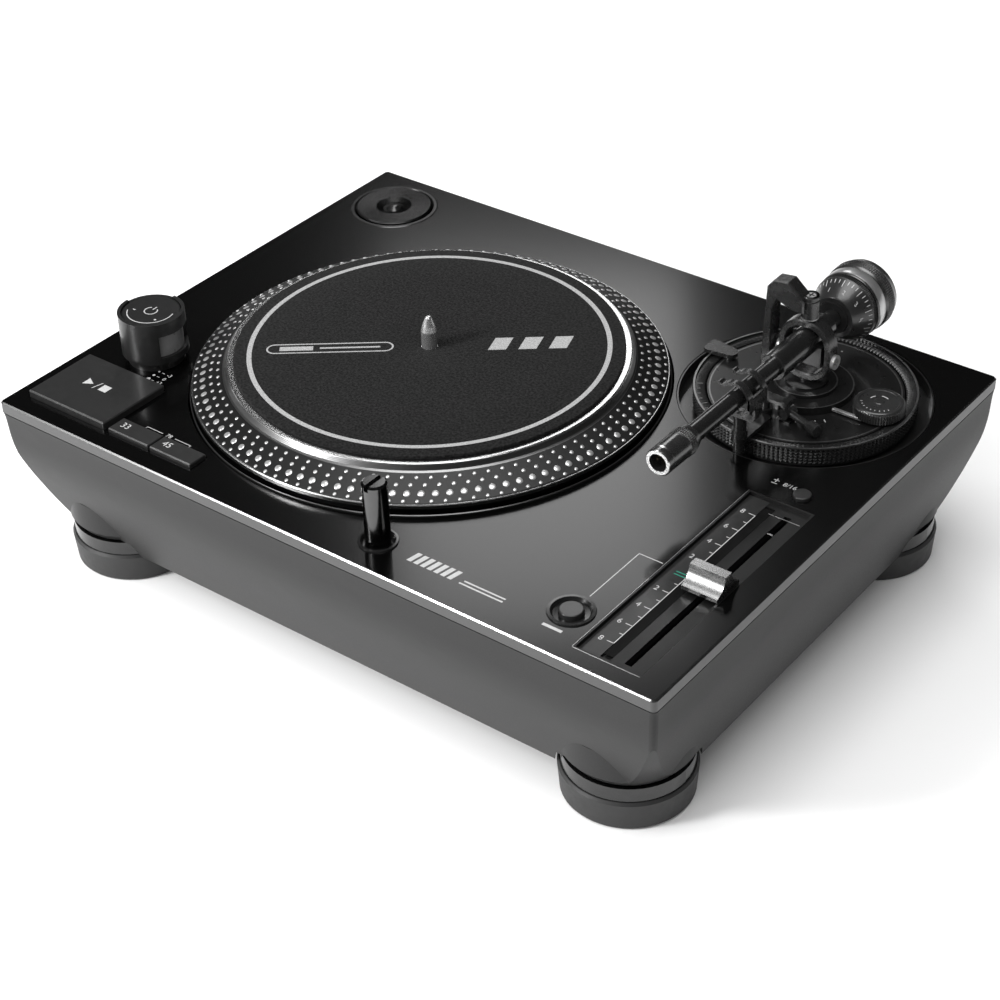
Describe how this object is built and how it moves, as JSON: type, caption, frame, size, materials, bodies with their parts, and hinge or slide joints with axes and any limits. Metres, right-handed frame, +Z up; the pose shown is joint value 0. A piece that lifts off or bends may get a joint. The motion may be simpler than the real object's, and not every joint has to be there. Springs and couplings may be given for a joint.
{
  "type": "turntable record player",
  "caption": "Compact direct-drive record player: low flat deck on round feet, small dotted platter with felt mat, straight tonearm in its rest, pitch fader and power tower.",
  "frame": {"origin": "on the ground, under the centre of the deck", "axes": "+X right along the front edge, +Y to the back, +Z up"},
  "size_m": [0.353, 0.271, 0.1437],
  "materials": {
    "deck_paint": "satin charcoal with a fine metallic grain",
    "body_paint": "satin charcoal moulded shell",
    "black_plastic": "fine moulded texture",
    "board_resin": "lacquered circuit board",
    "screw_steel": "blackened steel",
    "foot_rubber": "matte, lightly textured",
    "foot_ring_metal": "dark turned metal",
    "well_paint": "satin black with a bright upper lip",
    "platter_aluminium": "turned, black strobe cone with bright dots",
    "slipmat_felt": "dense dark grey felt",
    "spindle_chrome": "polished",
    "magnet_ferrite": "ground ferrite",
    "stator_steel": "stacked laminations",
    "coil_copper": "enamelled windings",
    "button_metal": "satin grey, bright bevelled edges",
    "bezel_metal": "turned",
    "fader_plate_paint": "satin charcoal with printed scale",
    "knob_silver": "satin silver",
    "tower_black": "satin charcoal",
    "lens_smoke": "smoked red lens",
    "light_tube_metal": "polished dark metal",
    "adapter_metal": "turned face with radial sheen",
    "arm_base_paint": "satin dark grey casting",
    "height_ring_metal": "dark anodised with knurled rim",
    "gimbal_metal": "satin dark metal",
    "arm_metal": "satin dark lacquer",
    "collar_metal": "dark with bright turned lip",
    "contact_gold": "plated pins in a dark insert",
    "weight_metal": "dark satin with bright turned band",
    "dial_black": "printed with light graduations",
    "jack_metal": "nickel plated"
  },
  "bodies": {
    "chassis": {"adapter_well": "bezel_metal", "arm_pan": "arm_base_paint", "bearing_housing": "bezel_metal", "body_shell": "body_paint", "bottom_cover": "black_plastic", "cover_screws": "screw_steel", "fader_body": "black_plastic", "fader_plate": "fader_plate_paint", "foot_pad_back_left": "foot_rubber", "foot_pad_back_right": "foot_rubber", "foot_pad_front_left": "foot_rubber", "foot_pad_front_right": "foot_rubber", "foot_rings": "foot_ring_metal", "light_bezel": "bezel_metal", "main_board": "board_resin", "mains_inlet": "black_plastic", "phono_jacks": "jack_metal", "platter_well": "well_paint", "power_supply": "board_resin", "rear_panel": "black_plastic", "reset_bezel": "bezel_metal", "stator_coils": "coil_copper", "stator_core": "stator_steel", "strobe_lens": "lens_smoke", "top_plate": "deck_paint", "tower_pillar": "tower_black"},
    "platter_assembly": {"platter": "platter_aluminium", "slipmat": "slipmat_felt", "spindle": "spindle_chrome", "rotor_magnet": "magnet_ferrite"},
    "start_stop": {"start_stop_button": "button_metal"},
    "speed_33": {"speed_button_33": "button_metal"},
    "speed_45": {"speed_button_45": "button_metal"},
    "pitch_reset": {"reset_button": "button_metal"},
    "pitch_range": {"range_button": "button_metal"},
    "pitch_fader": {"fader_carriage": "screw_steel", "fader_knob": "knob_silver"},
    "power_switch": {"power_knob": "tower_black"},
    "target_lamp": {"target_light": "light_tube_metal"},
    "adapter": {"adapter_45": "adapter_metal"},
    "height_collar": {"height_ring": "height_ring_metal"},
    "arm_base": {"arm_platform": "arm_base_paint", "gimbal_arch": "gimbal_metal", "arm_rest_post": "gimbal_metal", "arm_clip": "black_plastic"},
    "height_lock": {"lock_lever": "gimbal_metal"},
    "anti_skate": {"anti_skate_knob": "dial_black"},
    "cue_handle": {"cue_lever": "collar_metal"},
    "cue_bar": {"cue_lift": "collar_metal"},
    "gimbal": {"gimbal_ring": "gimbal_metal", "pivot_screws": "collar_metal"},
    "tonearm": {"arm_sleeve": "arm_metal", "arm_tube": "arm_metal", "rear_stub": "arm_metal", "connector_pins": "contact_gold"},
    "collar": {"headshell_collar": "collar_metal"},
    "weight_carrier": {"weight_bush": "black_plastic"},
    "force_dial": {"weight_dial": "dial_black"},
    "rear_weight": {"counterweight": "weight_metal"},
    "ground_terminal": {"ground_screw": "jack_metal"}
  },
  "joints": [
    {"name": "platter_spin", "type": "hinge", "parent": "chassis", "child": "platter_assembly", "pos_m": [-0.0313, -0.0078, 0.0865], "axis": [0, 0, 1], "continuous": true},
    {"name": "start_stop_press", "type": "slide", "parent": "chassis", "child": "start_stop", "axis": [0, 0, -1], "range_m": [0, 0.0015], "stiffness_N_per_m": 900, "springref_m": -0.0006},
    {"name": "speed_33_press", "type": "slide", "parent": "chassis", "child": "speed_33", "axis": [0, 0, -1], "range_m": [0, 0.001], "stiffness_N_per_m": 700, "springref_m": -0.0006},
    {"name": "speed_45_press", "type": "slide", "parent": "chassis", "child": "speed_45", "axis": [0, 0, -1], "range_m": [0, 0.001], "stiffness_N_per_m": 700, "springref_m": -0.0006},
    {"name": "pitch_reset_press", "type": "slide", "parent": "chassis", "child": "pitch_reset", "axis": [0, 0, -1], "range_m": [0, 0.001], "stiffness_N_per_m": 600, "springref_m": -0.0006},
    {"name": "pitch_range_press", "type": "slide", "parent": "chassis", "child": "pitch_range", "axis": [0, 0, -1], "range_m": [0, 0.001], "stiffness_N_per_m": 600, "springref_m": -0.0006},
    {"name": "pitch_slide", "type": "slide", "parent": "chassis", "child": "pitch_fader", "axis": [0, 1, 0], "range_m": [-0.05, 0.05]},
    {"name": "power_turn", "type": "hinge", "parent": "chassis", "child": "power_switch", "pos_m": [-0.14475, -0.0675, 0.0965], "axis": [0, 0, 1], "range_deg": [0, 30]},
    {"name": "target_light_press", "type": "slide", "parent": "chassis", "child": "target_lamp", "axis": [0, 0, -1], "range_m": [0, 0.028]},
    {"name": "adapter_lift", "type": "slide", "parent": "chassis", "child": "adapter", "axis": [0, 0, 1], "range_m": [0, 0.03]},
    {"name": "height_turn", "type": "hinge", "parent": "chassis", "child": "height_collar", "pos_m": [0.1145, 0.0735, 0.0865], "axis": [0, 0, 1], "range_deg": [0, 120.5]},
    {"name": "height_lift", "type": "slide", "parent": "chassis", "child": "arm_base", "axis": [0, 0, 1], "range_m": [0, 0.004]},
    {"name": "lock_turn", "type": "hinge", "parent": "arm_base", "child": "height_lock", "pos_m": [0.074, 0.076, 0.0925], "axis": [0, 0, 1], "range_deg": [-30, 0]},
    {"name": "anti_skate_turn", "type": "hinge", "parent": "arm_base", "child": "anti_skate", "pos_m": [0.1505, 0.074, 0.0945], "axis": [0, 0, 1], "range_deg": [-270, 0]},
    {"name": "cue_lever_turn", "type": "hinge", "parent": "arm_base", "child": "cue_handle", "pos_m": [0.121, 0.0484, 0.0937], "axis": [-0.3105, -0.9506, 0], "range_deg": [0, 25.2]},
    {"name": "cue_lift_slide", "type": "slide", "parent": "arm_base", "child": "cue_bar", "axis": [0, 0, 1], "range_m": [0, 0.005]},
    {"name": "arm_yaw", "type": "hinge", "parent": "arm_base", "child": "gimbal", "pos_m": [0.1145, 0.0735, 0.1085], "axis": [0, 0, 1], "range_deg": [-46, 0]},
    {"name": "arm_pitch", "type": "hinge", "parent": "gimbal", "child": "tonearm", "pos_m": [0.1145, 0.0735, 0.1085], "axis": [-1, 0, 0], "range_deg": [0, 2.2]},
    {"name": "collar_turn", "type": "hinge", "parent": "tonearm", "child": "collar", "pos_m": [0.1145, -0.03, 0.116], "axis": [0, 1, 0], "range_deg": [0, 30]},
    {"name": "weight_travel", "type": "slide", "parent": "tonearm", "child": "weight_carrier", "axis": [0, 1, 0], "range_m": [-0.004, 0.004]},
    {"name": "dial_turn", "type": "hinge", "parent": "weight_carrier", "child": "force_dial", "pos_m": [0.1145, 0.1, 0.116], "axis": [0, 1, 0], "range_deg": [-360, 360]},
    {"name": "weight_turn", "type": "hinge", "parent": "weight_carrier", "child": "rear_weight", "pos_m": [0.1145, 0.115, 0.116], "axis": [0, 1, 0], "range_deg": [-721, 721]},
    {"name": "ground_screw_turn", "type": "hinge", "parent": "chassis", "child": "ground_terminal", "pos_m": [-0.006, 0.125, 0.0615], "axis": [0, 1, 0], "range_deg": [0, 360]}
  ],
  "couplings": [
    {"joint": "height_turn", "follows": "height_lift", "rad_per_m": 523.6},
    {"joint": "cue_lever_turn", "follows": "cue_lift_slide", "rad_per_m": 87.266},
    {"joint": "weight_turn", "follows": "weight_travel", "rad_per_m": 3141.6}
  ]
}
